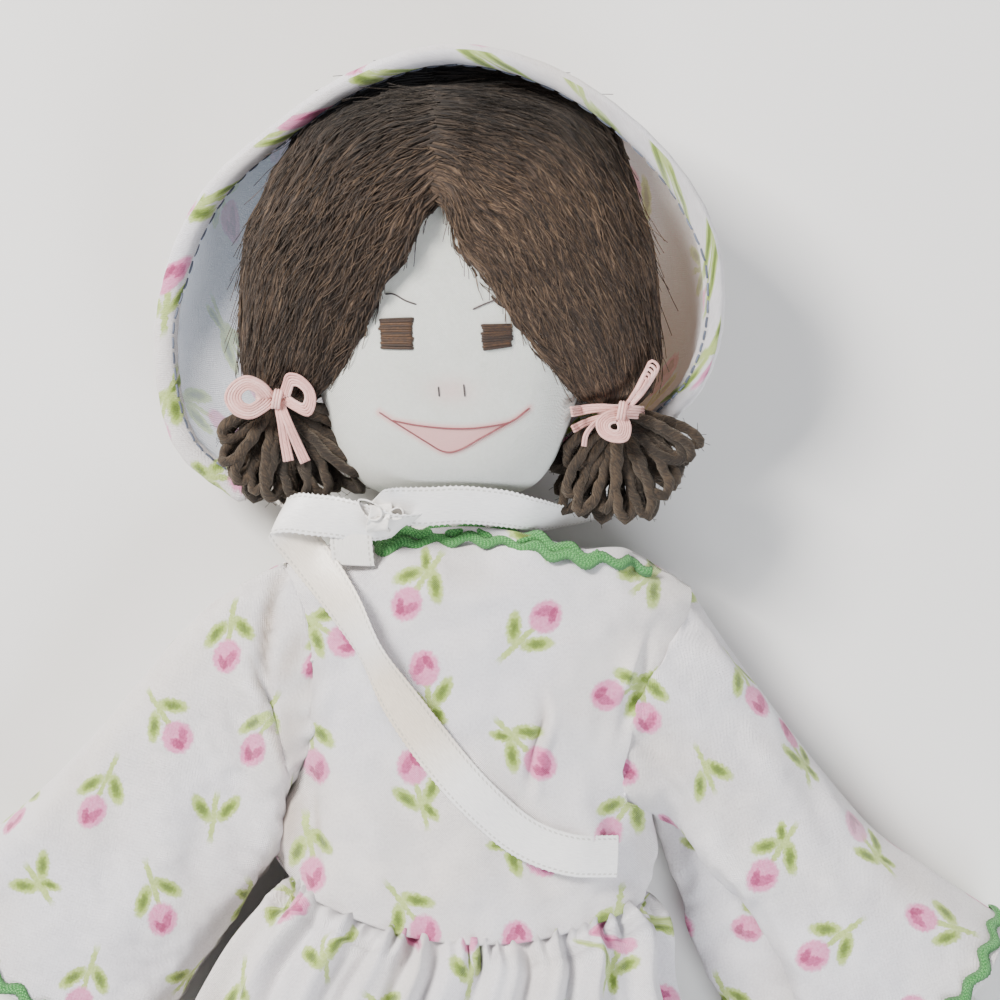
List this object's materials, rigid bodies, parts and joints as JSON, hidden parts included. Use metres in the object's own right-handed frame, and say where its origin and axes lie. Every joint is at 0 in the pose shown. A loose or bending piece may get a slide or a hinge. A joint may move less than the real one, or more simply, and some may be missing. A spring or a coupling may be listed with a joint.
{
  "type": "rag doll",
  "caption": "Stuffed cloth rag doll with yarn pigtails, sprigged cotton dress with bell sleeves and rickrack, pantaloons and a ribbon-tied sun bonnet, lying on its back.",
  "frame": {"origin": "middle of the bodice's back, on the surface that the doll lies on", "axes": "+X to the doll's own left, +Y to the crown of the head, +Z out of its front"},
  "size_m": [0.2513, 0.4311, 0.059],
  "materials": {
    "muslin": "matte off-white muslin",
    "dress_print": "matte white cotton with small pink and green sprigs",
    "bonnet_print": "matte white cotton with small pink and green sprigs",
    "yarn": "brushed dark brown yarn",
    "floss": "soft pink stranded floss",
    "satin": "white satin with a soft sheen",
    "braid": "green woven rickrack",
    "calico": "matte plain white cotton"
  },
  "bodies": {
    "torso": {"torso": "muslin", "bodice_front": "dress_print", "bodice_back_right": "dress_print", "bodice_back_left": "dress_print", "neck_rickrack": "braid", "pantaloon_seat": "calico", "ribbon_long_end": "satin"},
    "head": {"head": "muslin", "hair_right": "yarn", "hair_left": "yarn", "bonnet_crown": "bonnet_print", "bonnet_brim": "bonnet_print", "bonnet_brim_hem": "bonnet_print", "ribbon_chin_strap": "satin", "ribbon_side_strap": "satin", "ribbon_knot": "satin", "ribbon_short_end": "satin"},
    "pigtail_right": {"pigtail_right": "yarn", "floss_bow_right": "floss"},
    "pigtail_left": {"pigtail_left": "yarn", "floss_bow_left": "floss"},
    "arm_right": {"arm_right": "muslin", "sleeve_right": "dress_print", "sleeve_rickrack_right": "braid"},
    "arm_left": {"arm_left": "muslin", "sleeve_left": "dress_print", "sleeve_rickrack_left": "braid"},
    "lap": {"skirt": "dress_print", "skirt_rickrack": "braid"},
    "leg_right": {"leg_right": "muslin", "pantaloon_right": "calico"},
    "leg_left": {"leg_left": "muslin", "pantaloon_left": "calico"}
  },
  "joints": [
    {"name": "neck_nod", "type": "hinge", "parent": "torso", "child": "head", "pos_m": [-0.0067, 0.0525, 0.0218], "axis": [1, 0, 0], "range_deg": [0, 25], "deforming": ["ribbon_long_end", "ribbon_chin_strap", "ribbon_side_strap", "ribbon_short_end"]},
    {"name": "pigtail_swing_right", "type": "hinge", "parent": "head", "child": "pigtail_right", "pos_m": [-0.05047, 0.07364, 0.0306], "axis": [0, 0, 1], "range_deg": [-25, 0]},
    {"name": "pigtail_swing_left", "type": "hinge", "parent": "head", "child": "pigtail_left", "pos_m": [0.03042, 0.07788, 0.0306], "axis": [0, 0, 1], "range_deg": [0, 25]},
    {"name": "shoulder_swing_right", "type": "hinge", "parent": "torso", "child": "arm_right", "pos_m": [-0.0445, 0.023, 0.015], "axis": [0, 0, 1], "range_deg": [-56, 14], "deforming": ["sleeve_right", "sleeve_rickrack_right"]},
    {"name": "shoulder_swing_left", "type": "hinge", "parent": "torso", "child": "arm_left", "pos_m": [0.0445, 0.023, 0.015], "axis": [0, 0, 1], "range_deg": [-20, 50], "deforming": ["sleeve_left", "sleeve_rickrack_left"]},
    {"name": "sit_fold", "type": "hinge", "parent": "torso", "child": "lap", "pos_m": [0, -0.0875, 0.0204], "axis": [-1, 0, 0], "range_deg": [0, 85], "deforming": ["skirt", "skirt_rickrack", "pantaloon_right", "pantaloon_left"]},
    {"name": "hip_spread_right", "type": "hinge", "parent": "lap", "child": "leg_right", "pos_m": [-0.02, -0.0875, 0.0204], "axis": [0, 0, 1], "range_deg": [-12, 2]},
    {"name": "hip_spread_left", "type": "hinge", "parent": "lap", "child": "leg_left", "pos_m": [0.02, -0.0875, 0.0204], "axis": [0, 0, 1], "range_deg": [-2, 12]}
  ]
}
